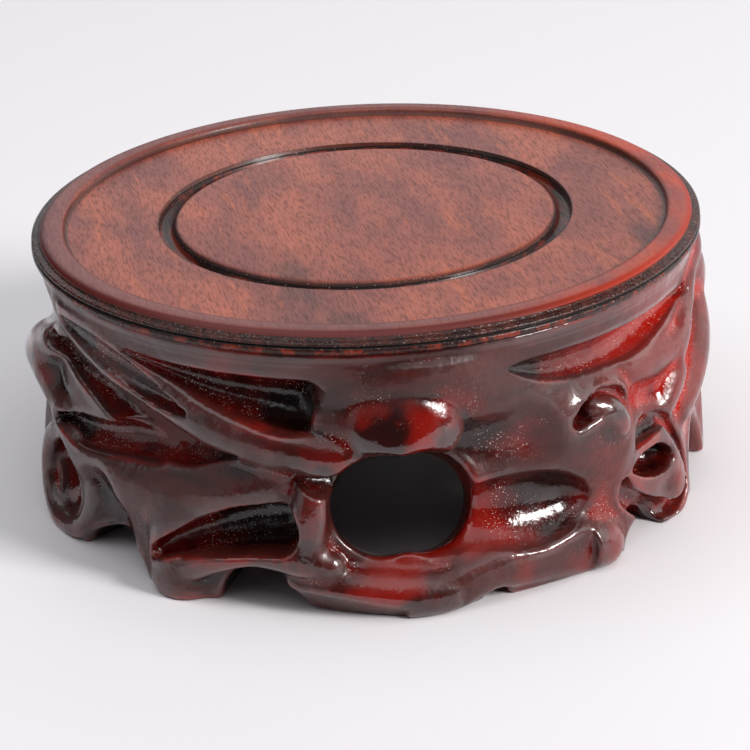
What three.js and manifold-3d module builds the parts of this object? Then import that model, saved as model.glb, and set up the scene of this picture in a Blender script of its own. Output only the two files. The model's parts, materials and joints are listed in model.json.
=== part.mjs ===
// A round display stand of lacquered rosewood: a turned top board set into a hollow base that is
// carved as a tangle of roots. Millimetres, +Z up. The origin is on the turned axis at the floor,
// and the front of the stand faces -Y.
import * as THREE from 'three';
import { mergeVertices } from 'three/addons/utils/BufferGeometryUtils.js';
import Module from 'manifold-3d';

const wasm = await Module();
wasm.setup();

// Driving dimensions
const standHeight = 46;         // floor to the top of the rim
const rimRadius = 55.5;         // outside of the rim's lip
const recessRadius = 50;        // inside of the rim
const recessDepth = 1.2;        // rim top down to the field
const discRadius = 31.8;        // centre disc, level with the field
const grooveWidth = 2.6;        // ring groove round the centre disc
const grooveDepth = 1.7;
const edgeRound = 0.5;          // rounding of the turned edges
const rimCrownWidth = 4.0;      // flat crown of the rim, inside the lip
const lipDrop = 1.0;            // crown down to the lip
const overhangHeight = 3.3;     // edge of the board above the base
const spigotDepth = 2.0;        // step on the board's underside
const seatDepth = 2.3;          // counterbore that takes the step
const seatRadius = 48.5;
const boreRadius = 41;          // hollow of the base
const hollowFootRadius = 46;    // the hollow widens to this at the floor
const hollowTaperHeight = 22;   // from this height down
const footRadius = 56.2;        // turned blank at the floor
const waistRadius = 53;         // at its narrowest
const waistHeight = 33;
const shoulderRadius = 54.6;    // under the board
const shoulderHeight = 2.5;     // band under the board that stays as turned
const flareExponent = 1.3;      // how the blank widens from its waist to the floor
const dowelDiameter = 3;
const dowelHoleInBoard = 2.2;   // depth of the blind holes
const dowelHoleInBase = 6;
const fitGap = 0.3;             // between a piece and the hole or seat that takes it

// Sizes worked out from these
const baseHeight = standHeight - overhangHeight;
const fieldHeight = standHeight - recessDepth;
const seatHeight = baseHeight - seatDepth;
const spigotHeight = baseHeight - spigotDepth;
const dowelCircleRadius = (boreRadius + seatRadius) / 2;
const toolOverrun = 2;          // how far a cutting tool runs past the wood

// Facets
const turnedSegments = 80;
const carvingColumns = 176;
const carvingRows = 25;
const strokeSteps = 4;          // straight pieces between two points of a stroke
const roundingSteps = 2;        // straight pieces in a rounded corner
const openingFacets = 10;
const dowelFacets = 12;
const openingReach = 10;        // how far the opening tools run out past the foot

// The carving is drawn on the unrolled side of the blank. A stroke is a path of points
// [angle from the front, height, half width, rise or depth], in degrees and millimetres, and its
// section is round. The angle grows towards +X. A swell stands out, a scoop is a shallow hollow, and
// a gouge is a half-round groove that also cuts what stands out. They are made one after the other,
// and each melts into what is there over its blend width.
const softBlend = 2.8;
const firmBlend = 1.6;
const crispBlend = 0.5;
const swell = (blend, points) => ({ kind: 'swell', blend, points });
const scoop = (blend, points) => ({ kind: 'scoop', blend, points });
const gouge = (blend, points) => ({ kind: 'gouge', blend, points });

// A facet is a flat cut. It takes what stands above a plane through a place on the side, within its
// reach. The plane faces outwards, turned towards +X and pitched upwards by two angles.
const facet = (blend, [angle, height, level, reach, turn, pitch]) => (
  { kind: 'facet', blend, angle, height, level, reach, turn, pitch }
);

const carving = [
  // The left trunk, from under the rim to the lobe beside the front hole
  swell(softBlend, [
    [-64, 38, 3.0, 0.7], [-52, 35.6, 3.2, 1.4], [-43, 33.8, 3.0, 2.0], [-35, 31.4, 3.0, 2.4],
    [-26, 28.8, 3.6, 2.8], [-17, 27, 4.0, 3.2]
  ]),
  swell(firmBlend, [
    [-20, 27.8, 3.4, 2.6], [-14, 27, 3.6, 3.6], [-9, 26.2, 3.8, 4.2], [-5.6, 26, 3.6, 4.4],
    [-3.8, 25.8, 3.0, 4.0]
  ]),
  // The left knot and the branch that carries it
  swell(firmBlend, [
    [-100, 20.4, 3.2, 1.6], [-93, 22.4, 4.4, 3.6], [-86, 24.4, 4.8, 4.7], [-79, 24, 4.4, 3.8],
    [-72, 21, 3.4, 2.2], [-66, 18, 2.2, 1.0]
  ]),
  swell(firmBlend, [[-84, 25.6, 4.0, 4.2], [-77, 28.8, 3.4, 3.2], [-69, 32, 2.4, 1.4]]),
  // The branch under the deep left hollow
  swell(softBlend, [
    [-68, 19.5, 2.6, 1.6], [-60, 15.6, 3.4, 1.8], [-49, 14.6, 4.0, 1.8], [-39, 15.4, 4.6, 2.4],
    [-29, 17.2, 4.4, 2.8], [-18, 19.6, 3.6, 2.4]
  ]),
  // The left front foot and its toe, which reaches right to the pillar
  swell(firmBlend, [[-35, 15, 4.4, 2.4], [-35.4, 8, 4.8, 3.2], [-34, 1.5, 4.8, 3.2]]),
  swell(crispBlend, [
    [-36, 2.6, 3.2, 3.0], [-28, 7.2, 2.2, 3.4], [-20, 9.6, 1.8, 3.4], [-13, 9.6, 2.2, 4.0],
    [-8, 8.4, 2.0, 3.4]
  ]),
  // The pillar left of the front hole
  swell(firmBlend, [[-10, 22, 2.4, 2.4], [-10.8, 16.6, 2.8, 3.8], [-11.8, 10, 3.0, 3.8]]),
  // The broad right trunk
  swell(softBlend, [
    [10, 37.5, 4.0, 1.0], [20, 31.5, 6.0, 2.2], [31, 25.5, 7.0, 3.0], [43, 18, 5.4, 2.8]
  ]),
  // The right front foot
  swell(firmBlend, [
    [14, 4.6, 3.4, 2.6], [22, 5.4, 4.0, 3.2], [31, 5.2, 4.4, 3.4], [39, 3.6, 4.0, 3.0]
  ]),
  // The root that crosses in front of the hole
  swell(firmBlend, [
    [-13, 4.0, 3.4, 2.8], [-5, 4.0, 4.0, 3.8], [4, 3.2, 4.0, 4.0], [11, 3.2, 3.4, 3.4],
    [16, 5, 2.4, 2.4]
  ]),
  // The ridge that falls from the rim to the right scroll
  swell(firmBlend, [
    [86, 40.2, 2.4, 0.8], [77, 34.8, 2.6, 1.8], [70, 29, 2.8, 2.4], [60, 28, 2.6, 1.6],
    [50, 29.4, 2.2, 0.8]
  ]),
  swell(firmBlend, [[70, 29, 2.6, 2.0], [64, 23, 2.8, 2.4], [60, 19.5, 2.4, 1.6]]),
  // The right knot and its branch
  swell(softBlend, [[104, 25, 4.4, 2.2], [96, 29, 4.8, 4.0], [89, 32.5, 4.4, 3.8], [84, 36, 3.4, 1.8]]),
  // The slope from the right knot down to the right scroll, and the foot behind it
  swell(firmBlend, [[90, 29, 4.6, 3.2], [82, 24, 4.8, 3.8], [74, 19.4, 4.0, 3.0], [67, 16, 2.6, 1.8]]),
  swell(firmBlend, [[86, 16, 3.4, 1.4], [88, 8, 3.6, 1.2], [88.4, 0.5, 3.8, 0.5]]),
  // The rear right trunk, which runs down into a foot
  swell(softBlend, [
    [103, 39.5, 3.2, 1.0], [111, 34, 3.8, 2.0], [119, 28.5, 4.2, 2.8], [129, 24, 4.2, 3.0],
    [139, 18, 4.2, 2.8]
  ]),
  swell(firmBlend, [[139, 18, 4.0, 2.6], [144, 10, 4.4, 2.8], [145, 1.5, 4.8, 3.0]]),
  swell(firmBlend, [[110, 22, 3.6, 1.8], [111, 12, 4.2, 1.8], [112, 2, 4.6, 1.4]]),
  // The rear trunk and its two feet
  swell(softBlend, [
    [209, 38.5, 3.4, 1.0], [198, 35, 3.8, 1.8], [186, 31, 4.2, 2.6], [174, 28.4, 4.4, 3.0],
    [161, 26, 4.4, 2.8], [150, 21.5, 3.8, 2.4]
  ]),
  swell(firmBlend, [[186, 13, 3.6, 1.8], [181, 6, 4.6, 2.6], [179, 1, 5.0, 2.8]]),
  swell(firmBlend, [[206, 25, 4.0, 2.4], [210, 14, 4.4, 2.8], [211, 2, 4.8, 3.0]]),
  // The rear left trunk and its two feet
  swell(softBlend, [
    [-95, 38.5, 3.2, 0.8], [-105, 34.4, 3.6, 2.0], [-115, 30, 4.2, 2.8], [-127, 27, 4.2, 2.8],
    [-138, 27.6, 3.8, 2.4], [-148, 30.5, 3.2, 1.6]
  ]),
  swell(firmBlend, [[-112, 20, 3.6, 2.2], [-116, 11, 4.2, 2.6], [-118, 2, 4.8, 3.0]]),
  swell(firmBlend, [[-95, 17, 3.2, 1.6], [-92, 9, 4.0, 1.8], [-91, 1.5, 4.2, 1.6]]),
  // The leaf-shaped hollow under the rim, left of the front knot, and the narrow one beside it
  scoop(crispBlend, [
    [-45, 38, 0.3, 0.3], [-40, 37.4, 0.8, 0.9], [-34, 36.5, 1.6, 2.0], [-27, 35.3, 2.8, 3.4],
    [-20, 34.4, 3.7, 4.6], [-14, 33.8, 4.2, 5.2], [-9.8, 34.4, 3.6, 4.4], [-6.8, 36, 1.6, 2.0]
  ]),
  scoop(crispBlend, [
    [-62, 37.4, 1.0, 0.3], [-53, 36.4, 1.9, 0.6], [-46, 34.9, 2.0, 0.9], [-40, 33.2, 1.8, 1.2],
    [-35, 31.7, 1.2, 1.0], [-31.5, 30.9, 0.4, 0.3]
  ]),
  // The deep left hollow and its lower facet
  scoop(crispBlend, [
    [-72, 31.4, 1.4, 1.4], [-64, 30.6, 2.6, 3.4], [-56, 29.2, 3.0, 4.6], [-48, 27.2, 3.4, 5.6],
    [-40, 25.2, 3.7, 5.8], [-33, 24.2, 2.8, 4.4], [-27, 24.4, 1.2, 2.0], [-22.5, 25, 0.4, 0.5]
  ]),
  scoop(crispBlend, [
    [-67, 19.4, 1.0, 1.0], [-60, 19.8, 2.2, 2.6], [-53, 20.8, 2.5, 3.6], [-46, 22, 2.6, 4.8],
    [-39, 22.6, 2.2, 4.8]
  ]),
  // The fall between the left scroll and the left foot
  scoop(firmBlend, [[-53, 11, 3.4, 1.2], [-50, 6, 4.4, 2.4], [-49, -1, 5.2, 3.6]]),
  // The wedge over the left toe
  scoop(crispBlend, [
    [-38, 6.2, 0.8, 0.8], [-35.5, 8.0, 1.5, 1.8], [-29, 10.8, 2.6, 3.6], [-22, 13.2, 3.8, 4.8],
    [-16.5, 14.2, 4.0, 5.0]
  ]),
  // The fold under the lobe
  gouge(crispBlend, [
    [-12.6, 22.6, 0.8, 0.4], [-9.6, 21.8, 1.6, 1.6], [-6.4, 21.6, 2.2, 3.2], [-3, 22, 2.0, 3.6]
  ]),
  // The long slit under the rim on the right
  scoop(crispBlend, [
    [22.4, 37.2, 0.3, 0.4], [27, 36.4, 1.3, 2.0], [33, 35.6, 2.1, 3.0], [40, 35, 2.6, 3.8],
    [48, 34.6, 2.9, 4.2], [56, 34.6, 2.8, 4.0], [64, 34.9, 2.2, 3.0], [73, 35, 0.5, 0.6]
  ]),
  // The dark hollow right of the front hole and the shade above it
  scoop(crispBlend, [
    [15.5, 14.2, 4.2, 4.4], [21, 14.2, 4.9, 5.2], [27, 13.6, 4.6, 5.2], [32, 12.6, 3.2, 3.8],
    [35.4, 12.4, 1.2, 1.4]
  ]),
  scoop(softBlend, [[12, 26.4, 2.6, 1.8], [17, 25.2, 4.0, 1.8], [23, 25, 3.2, 0.7]]),
  // The hollow under the right knot, and the one between its two ridges
  scoop(crispBlend, [
    [90, 20, 1.2, 1.0], [96, 18.6, 2.8, 3.0], [102, 17.4, 2.4, 2.8], [106, 17, 0.8, 0.8]
  ]),
  scoop(firmBlend, [[67, 25, 0.8, 0.8], [73, 28.4, 2.0, 2.0], [80, 32, 1.6, 1.6]]),
  // The rear hollows
  scoop(crispBlend, [
    [118, 33, 0.6, 0.6], [112, 29.6, 2.2, 2.6], [109, 24, 2.4, 2.8], [110, 18, 1.0, 1.2]
  ]),
  scoop(crispBlend, [
    [121, 37.8, 0.5, 0.5], [130, 36, 2.0, 2.6], [140, 34.4, 3.2, 4.0], [148, 35.2, 2.2, 2.6],
    [154, 37, 0.5, 0.5]
  ]),
  scoop(crispBlend, [[131, 17.8, 1.2, 1.4], [132, 13, 3.2, 3.6], [129, 9.4, 2.2, 2.4]]),
  scoop(crispBlend, [[151, 17.4, 1.4, 1.4], [156, 14.6, 3.6, 3.8], [161, 11.4, 2.4, 2.8]]),
  scoop(crispBlend, [
    [160, 36.6, 0.6, 0.6], [170, 35, 2.2, 2.8], [182, 36.4, 2.2, 2.6], [194, 38.2, 0.5, 0.5]
  ]),
  scoop(crispBlend, [[193, 25, 1.0, 1.2], [197, 18.5, 3.2, 3.8], [195, 12.5, 2.4, 2.8]]),
  scoop(crispBlend, [
    [-147, 37.2, 0.5, 0.6], [-136, 34.8, 2.6, 3.2], [-124, 35, 3.0, 3.6], [-112, 37.8, 0.6, 0.6]
  ]),
  scoop(crispBlend, [[-143, 13.6, 1.2, 1.2], [-136, 12.4, 3.0, 3.4], [-129, 10.4, 1.6, 1.8]]),
  scoop(crispBlend, [
    [-103, 28, 1.0, 1.0], [-101, 22.5, 2.8, 3.4], [-103, 16.5, 3.0, 3.6], [-106, 11.6, 1.2, 1.4]
  ]),
  // The front knot with its tail to the left and its worn face
  swell(firmBlend, [[-6.4, 31.8, 1.6, 0.8], [-3.2, 31, 3.2, 2.4], [0, 30.6, 4.4, 4.0]]),
  swell(crispBlend, [[1.0, 30.4, 6.2, 5.2], [4.6, 30.2, 7.2, 5.8], [8.2, 30.4, 6.2, 5.0]]),
  facet(0.4, [4.6, 25.4, 4.2, 9, 0, -52]),
  facet(0.5, [3.6, 31.4, 5.0, 7, -6, 12]),
  // The small knot on the right trunk: a worn cup with a spur in it
  swell(firmBlend, [[36.4, 26.6, 4.8, 3.2], [42, 25.8, 5.0, 3.6]]),
  gouge(crispBlend, [
    [34, 26.2, 1.2, -0.6], [36.4, 27.4, 1.7, 0.6], [40, 28, 1.7, 0.4], [43.4, 27.2, 1.7, 0.2],
    [45.6, 25.2, 1.3, -0.6]
  ]),
  swell(crispBlend, [
    [38.4, 27, 1.6, 2.8], [41, 25.6, 2.2, 3.8], [42.8, 23.4, 1.9, 3.8], [43.4, 21.6, 1.1, 3.0]
  ]),
  // The soft dimple above the right scroll
  scoop(firmBlend, [[50.8, 24.6, 1.4, 0.8], [53.6, 22.8, 2.4, 1.6], [56.6, 23, 1.4, 0.8]]),
  // The rear knots
  swell(crispBlend, [[150, 31, 4.2, 3.6], [154, 30.4, 4.8, 4.4], [157, 30, 4.0, 3.6]]),
  scoop(crispBlend, [[152.6, 30.8, 2.6, 0.6], [155, 30.4, 2.6, 0.6]]),
  swell(crispBlend, [[-142, 22.4, 3.4, 3.0], [-139.4, 20.6, 3.8, 3.6], [-138, 18.4, 3.0, 2.8]]),
  // The right scroll: its mound, the groove round it, the pocket above and the heart
  swell(firmBlend, [[48, 13, 5.6, 1.2], [54, 12, 7.2, 1.6], [59, 9.8, 6.6, 1.8], [61, 4.4, 4.8, 1.8]]),
  gouge(crispBlend, [
    [53.5, 20.2, 0.5, 0.4], [58, 17.8, 1.0, 1.0], [61.5, 13, 1.3, 1.2], [63.8, 8, 1.4, 1.4],
    [62.6, 4.2, 1.4, 1.6], [58.8, 2.2, 1.5, 2.2], [53.4, 3.9, 1.8, 2.8], [48.6, 6.6, 1.9, 3.0],
    [45.4, 9.6, 1.6, 2.6], [44.6, 12.2, 0.8, 1.4]
  ]),
  gouge(crispBlend, [[48.4, 17.6, 1.2, 0.8], [52, 18.5, 1.9, 1.6], [55.8, 18.1, 1.3, 0.8]]),
  gouge(crispBlend, [
    [47.4, 13.6, 0.9, 1.4], [51, 13, 2.2, 3.4], [54.6, 12.3, 2.4, 4.0], [57, 11.8, 1.5, 2.4]
  ]),
  // The left scroll: its hollow and the ring round it
  scoop(crispBlend, [[-68, 10.2, 4.6, 4.4], [-66.4, 7.2, 4.6, 4.4]]),
  swell(crispBlend, [
    [-66, 17, 1.8, 1.6], [-59.5, 15, 1.8, 1.2], [-56.8, 9, 1.8, 1.0], [-60, 2.6, 1.8, 1.4],
    [-67, 0.8, 1.9, 2.0], [-73.5, 3.4, 1.9, 2.4], [-75.6, 9, 1.9, 2.6], [-72.6, 14.6, 1.8, 2.4],
    [-66, 17, 1.8, 1.6]
  ]),
  // The underside of the front root, and the worn face of the right front foot
  facet(0.4, [-5, 4.6, 3.8, 9, -13, -40]),
  facet(0.9, [24, 4.6, 2.3, 11, 4, -6]),
];

// The openings go right through the wall: [angle, height, half width, half height, tilt in degrees]
const opening = (angle, height, halfWidth, halfHeight, tilt, fall) => (
  { angle, height, halfWidth, halfHeight, tilt, fall }
);
const openings = [// The front hole, in two overlapping rounds that fall inwards
  opening(0.6, 16.6, 7.9, 8.6, 0, 6),
  opening(7.4, 16.8, 7.9, 8.6, 0, 6),
  // The arches between the feet, from the left front foot to the right
  opening(-50, -1.5, 8.6, 6.4, 0, 0),
  opening(-19.4, -0.4, 7.0, 7.6, 4, 0),
  opening(18.6, -1, 2.2, 3.2, 0, 0),
  opening(50, -1.5, 5.6, 5.8, 0, 0),
  opening(76.4, -1, 7.2, 11.4, 0, 0),
  opening(98.6, -1, 5.6, 6.6, 0, 0),
  opening(128.5, -1, 5.7, 8.0, -6, 0),
  opening(162, -1, 5.7, 6.8, 0, 0),
  opening(195, -1, 5.7, 6.8, 5, 0),
  opening(226.5, -1, 5.7, 7.8, 0, 0),
  opening(255.5, -1, 5.6, 6.4, 0, 0),
  opening(276.5, -1, 3.2, 4.0, 0, 0),
  // The rear holes
  opening(121, 17.4, 4.4, 5.4, 18, 2),
  opening(171.5, 18.6, 7.2, 6.2, 0, 2),
  opening(-125, 17.6, 5.0, 6.0, -14, 2),
  // The hearts of the right scroll and the left scroll
  opening(53.4, 12.6, 2.2, 1.5, 20, 2),
  opening(-68.8, 8.2, 1.9, 3.6, 8, 0),
];

const degrees = Math.PI / 180;

// Radius of the turned blank at a height above the floor
function blankRadius(height) {
  if (height < waistHeight) {
    return waistRadius + (footRadius - waistRadius) * (1 - height / waistHeight) ** flareExponent;
  }
  const rise = (height - waistHeight) / (baseHeight - waistHeight);
  return THREE.MathUtils.lerp(waistRadius, shoulderRadius, THREE.MathUtils.smoothstep(rise, 0, 1));
}

// A stroke's path as a smooth row of points on the unrolled side, closed where it ends as it began
function trace(stroke) {
  const first = stroke.points[0];
  const last = stroke.points.at(-1);
  const closed = first.every((value, index) => value === last[index]);
  const count = stroke.points.length - 1;
  const at = (index) => {
    if (closed) return stroke.points[(index + count) % count];
    return stroke.points[THREE.MathUtils.clamp(index, 0, count)];
  };
  const row = [];
  for (let step = 0; step <= count * strokeSteps; step += 1) {
    const index = Math.min(Math.floor(step / strokeSteps), count - 1);
    const part = step / strokeSteps - index;
    const values = first.map((_, axis) => {
      const near = [at(index - 1), at(index), at(index + 1), at(index + 2)].map((point) => point[axis]);
      return catmullRom(near, part);
    });
    const [pointAngle, pointHeight, halfWidth, rise] = values;
    row.push({ along: pointAngle * degrees * waistRadius, height: pointHeight, halfWidth, rise });
  }
  return row;
}

function catmullRom([before, start, end, after], part) {
  const leave = (end - before) / 2;
  const arrive = (after - start) / 2;
  const cube = 2 * start - 2 * end + leave + arrive;
  const square = -3 * start + 3 * end - 2 * leave - arrive;
  return ((cube * part + square) * part + leave) * part + start;
}

// Radius of a stroke's round section
function sectionRadius(kind, halfWidth, rise) {
  const round = kind === 'gouge' || (kind === 'scoop' && rise > halfWidth);
  return round ? halfWidth : (halfWidth * halfWidth + rise * rise) / (2 * rise);
}

// Height of a round section at a distance from its centre line, or nothing beyond it
function sectionHeight(kind, distance, halfWidth, rise) {
  const radius = sectionRadius(kind, halfWidth, rise);
  if (distance >= radius) return -Infinity;
  return Math.sqrt(radius * radius - distance * distance) + rise - radius;
}

// How far a swell rises over the blank, or a cut lies below it, at a place on the unrolled side
function strokeHeight({ kind, row }, along, height) {
  let highest = -Infinity;
  for (let index = 1; index < row.length; index += 1) {
    const start = row[index - 1];
    const end = row[index];
    const run = end.along - start.along;
    const climb = end.height - start.height;
    const projection = (along - start.along) * run + (height - start.height) * climb;
    const part = THREE.MathUtils.clamp(projection / (run * run + climb * climb), 0, 1);
    const distance = Math.hypot(along - start.along - part * run, height - start.height - part * climb);
    const halfWidth = THREE.MathUtils.lerp(start.halfWidth, end.halfWidth, part);
    const rise = THREE.MathUtils.lerp(start.rise, end.rise, part);
    highest = Math.max(highest, sectionHeight(kind, distance, halfWidth, rise));
  }
  return highest;
}

// Depth of a facet's plane below the blank at a place on the unrolled side, or nothing out of reach
function facetDepth({ angle, height: centre, level, reach, turn, pitch }, along, height) {
  const across = along - angle * degrees * waistRadius;
  const upward = height - centre;
  if (Math.hypot(across, upward) > reach) return -Infinity;
  const sideSlope = Math.tan(turn * degrees);
  const upSlope = Math.tan(pitch * degrees) / Math.cos(turn * degrees);
  return across * sideSlope + upward * upSlope - level;
}

function blendedMax(first, second, blend) {
  const nearness = Math.max(blend - Math.abs(first - second), 0) / blend;
  return Math.max(first, second) + nearness * nearness * blend / 4;
}

// Each cut or swell with its traced path and the rectangle of the unrolled side that it can reach
const tracedCarving = carving.map((stroke) => {
  const area = new THREE.Box2();
  if (stroke.kind === 'facet') {
    const centre = new THREE.Vector2(stroke.angle * degrees * waistRadius, stroke.height);
    return { ...stroke, area: area.setFromPoints([centre]).expandByScalar(stroke.reach) };
  }
  const row = trace(stroke);
  const reach = Math.max(...row.map((point) => Math.max(point.halfWidth, point.rise)));
  const places = row.map((point) => new THREE.Vector2(point.along, point.height));
  return { ...stroke, row, area: area.setFromPoints(places).expandByScalar(reach) };
});

// How far the carved side stands out from the blank, or lies below it
function relief(angle, height) {
  const turn = 2 * Math.PI * waistRadius;
  const place = new THREE.Vector2(0, height);
  let level = 0;
  for (const stroke of tracedCarving) {
    const middle = (stroke.area.min.x + stroke.area.max.x) / 2;
    const offset = angle * waistRadius - middle;
    place.x = offset - turn * Math.round(offset / turn) + middle;
    if (!stroke.area.containsPoint(place)) continue;
    const side = stroke.kind === 'swell' ? 1 : -1;
    const measure = stroke.kind === 'facet' ? facetDepth : strokeHeight;
    const found = measure(stroke, place.x, height);
    if (found > -Infinity) level = side * blendedMax(side * level, found, stroke.blend);
  }
  const bandStart = baseHeight - shoulderHeight;
  const turnedShare = THREE.MathUtils.smoothstep(height, bandStart, baseHeight - shoulderHeight / 3);
  return level * (1 - turnedShare);
}

// A closed solid from a geometry: only positions stay, shared corners are merged and flat slivers go
function solid(geometry) {
  const bare = new THREE.BufferGeometry();
  bare.setAttribute('position', geometry.getAttribute('position').clone());
  if (geometry.index) bare.setIndex(geometry.index.clone());
  const merged = mergeVertices(bare, 1e-4);
  const corners = merged.index.array;
  const faces = [];
  for (let index = 0; index < corners.length; index += 3) {
    const [a, b, c] = corners.slice(index, index + 3);
    if (a !== b && b !== c && c !== a) faces.push(a, b, c);
  }
  return new wasm.Manifold(new wasm.Mesh({
    numProp: 3,
    vertProperties: new Float32Array(merged.getAttribute('position').array),
    triVerts: new Uint32Array(faces),
  }));
}

function geometryOf(manifold) {
  const mesh = manifold.getMesh();
  const geometry = new THREE.BufferGeometry();
  geometry.setAttribute('position', new THREE.BufferAttribute(mesh.vertProperties, 3));
  geometry.setIndex(new THREE.BufferAttribute(mesh.triVerts, 1));
  geometry.computeVertexNormals();
  return geometry;
}

// A cylinder that stands on a height, on the axis or off it
function upright(radius, bottom, top, segments, x = 0, y = 0) {
  const geometry = new THREE.CylinderGeometry(radius, radius, top - bottom, segments);
  return geometry.rotateX(Math.PI / 2).translate(x, y, (bottom + top) / 2);
}

// A turned solid from corners [radius, height, rounding], which run from axis to axis
function turned(corners) {
  const path = new THREE.Path();
  const point = ([radius, height]) => new THREE.Vector2(radius, height);
  corners.forEach((corner, index) => {
    const here = point(corner);
    if (index === 0) {
      path.moveTo(here.x, here.y);
      return;
    }
    const rounding = corner[2] ?? 0;
    if (rounding === 0 || index === corners.length - 1) {
      path.lineTo(here.x, here.y);
      return;
    }
    const before = here.clone().add(point(corners[index - 1]).sub(here).setLength(rounding));
    const after = here.clone().add(point(corners[index + 1]).sub(here).setLength(rounding));
    path.lineTo(before.x, before.y);
    path.quadraticCurveTo(here.x, here.y, after.x, after.y);
  });
  return new THREE.LatheGeometry(path.getPoints(roundingSteps), turnedSegments).rotateX(Math.PI / 2);
}

// The dowels stand at the four quarters: under the front, back, left and right of the rim's field
const dowelPlaces = {
  dowel_front: [0, -dowelCircleRadius],
  dowel_back: [0, dowelCircleRadius],
  dowel_left: [-dowelCircleRadius, 0],
  dowel_right: [dowelCircleRadius, 0],
};
const dowelHoleRadius = dowelDiameter / 2 + fitGap;

function dowelHole([x, y], bottom, top) {
  return solid(upright(dowelHoleRadius, bottom, top, dowelFacets, x, y));
}

function makeTopBoard() {
  const grooveFloor = fieldHeight - grooveDepth;
  const grooveOuter = discRadius + grooveWidth;
  const crownRadius = recessRadius + rimCrownWidth;
  const lipHeight = standHeight - lipDrop;
  let board = solid(turned([
    [0, spigotHeight],
    [seatRadius - fitGap, spigotHeight],
    [seatRadius - fitGap, baseHeight],
    [rimRadius, baseHeight, edgeRound],
    [rimRadius, lipHeight, edgeRound],
    [crownRadius, lipHeight],
    [crownRadius, standHeight, edgeRound],
    [recessRadius, standHeight, edgeRound],
    [recessRadius, fieldHeight],
    [grooveOuter, fieldHeight],
    [grooveOuter, grooveFloor, edgeRound],
    [discRadius, grooveFloor],
    [discRadius, fieldHeight, edgeRound],
    [0, fieldHeight],
  ]));
  for (const place of Object.values(dowelPlaces)) {
    board = board.subtract(dowelHole(place, spigotHeight - toolOverrun, spigotHeight + dowelHoleInBoard));
  }
  return geometryOf(board);
}

// The carving's level round a corner of the mesh, averaged as far as the next corners, so that no
// steep edge turns jagged
function facetRelief(angle, height) {
  const shares = [-0.75, -0.25, 0.25, 0.75];
  let sum = 0;
  for (const across of shares) {
    for (const upward of shares) {
      const sampleAngle = angle + across * 2 * Math.PI / carvingColumns;
      const sampleHeight = height + upward * baseHeight / carvingRows;
      sum += relief(sampleAngle, THREE.MathUtils.clamp(sampleHeight, 0, baseHeight));
    }
  }
  return sum / shares.length ** 2;
}

// The blank with its carved side: a plain cylinder whose side is pushed in and out
function carvedBlank() {
  const geometry = new THREE.CylinderGeometry(1, 1, baseHeight, carvingColumns, carvingRows);
  geometry.rotateX(Math.PI / 2).translate(0, 0, baseHeight / 2);
  const position = geometry.getAttribute('position');
  for (let index = 0; index < position.count; index += 1) {
    const x = position.getX(index);
    const y = position.getY(index);
    const height = position.getZ(index);
    if (Math.hypot(x, y) < 0.5) continue;
    const radius = blankRadius(height) + facetRelief(Math.atan2(x, -y), height);
    position.setXY(index, x * radius, y * radius);
  }
  return geometry;
}

// An oval cutting tool that points at the axis and drops by its fall on the way through the wall
function openingTool({ angle, height, halfWidth, halfHeight, tilt, fall }) {
  const outline = new THREE.Shape();
  outline.absellipse(0, 0, halfWidth, halfHeight, 0, 2 * Math.PI, false, tilt * degrees);
  const start = boreRadius - toolOverrun;
  const depth = footRadius + openingReach - start;
  const facets = { depth, bevelEnabled: false, curveSegments: openingFacets };
  const tool = new THREE.ExtrudeGeometry(outline, facets);
  const slope = fall / (waistRadius - boreRadius);
  const outward = new THREE.Vector3(Math.sin(angle * degrees), -Math.cos(angle * degrees), 0);
  const sideways = new THREE.Vector3(-outward.y, outward.x, 0);
  const upward = new THREE.Vector3(0, 0, 1);
  const climbing = outward.clone().setZ(slope);
  const placement = new THREE.Matrix4().makeBasis(sideways, upward, climbing);
  const startHeight = height - slope * (waistRadius - start);
  placement.setPosition(outward.clone().multiplyScalar(start).setZ(startHeight));
  return solid(tool.applyMatrix4(placement));
}

function makeCarvedBase() {
  const below = -toolOverrun;
  const above = baseHeight + toolOverrun;
  const flare = (hollowFootRadius - boreRadius) / hollowTaperHeight;
  const hollow = turned([
    [0, below], [hollowFootRadius + flare * toolOverrun, below], [boreRadius, hollowTaperHeight],
    [boreRadius, above], [0, above],
  ]);
  let base = solid(carvedBlank()).subtract(solid(hollow));
  base = base.subtract(solid(upright(seatRadius, seatHeight, above, turnedSegments)));
  for (const place of openings) base = base.subtract(openingTool(place));
  for (const place of Object.values(dowelPlaces)) {
    base = base.subtract(dowelHole(place, seatHeight - dowelHoleInBase, seatHeight + toolOverrun));
  }
  return geometryOf(base);
}

function makeDowel() {
  const bottom = seatHeight - dowelHoleInBase + fitGap;
  const top = spigotHeight + dowelHoleInBoard - fitGap;
  return upright(dowelDiameter / 2, bottom, top, dowelFacets);
}

const boardWood = new THREE.MeshStandardMaterial({ color: 0x8a4a3a, roughness: 0.35, metalness: 0 });
const carvedWood = new THREE.MeshStandardMaterial({ color: 0x4a1512, roughness: 0.18, metalness: 0 });
const dowelWood = new THREE.MeshStandardMaterial({ color: 0xb98d5b, roughness: 0.7, metalness: 0 });

function piece(name, geometry, material) {
  const mesh = new THREE.Mesh(geometry, material);
  mesh.name = name;
  return mesh;
}

const stand = new THREE.Group();
stand.add(piece('top_board', makeTopBoard(), boardWood));
stand.add(piece('carved_base', makeCarvedBase(), carvedWood));
for (const [name, [x, y]] of Object.entries(dowelPlaces)) {
  const dowel = piece(name, makeDowel(), dowelWood);
  dowel.position.set(x, y, 0);
  stand.add(dowel);
}

export default stand;
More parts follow.
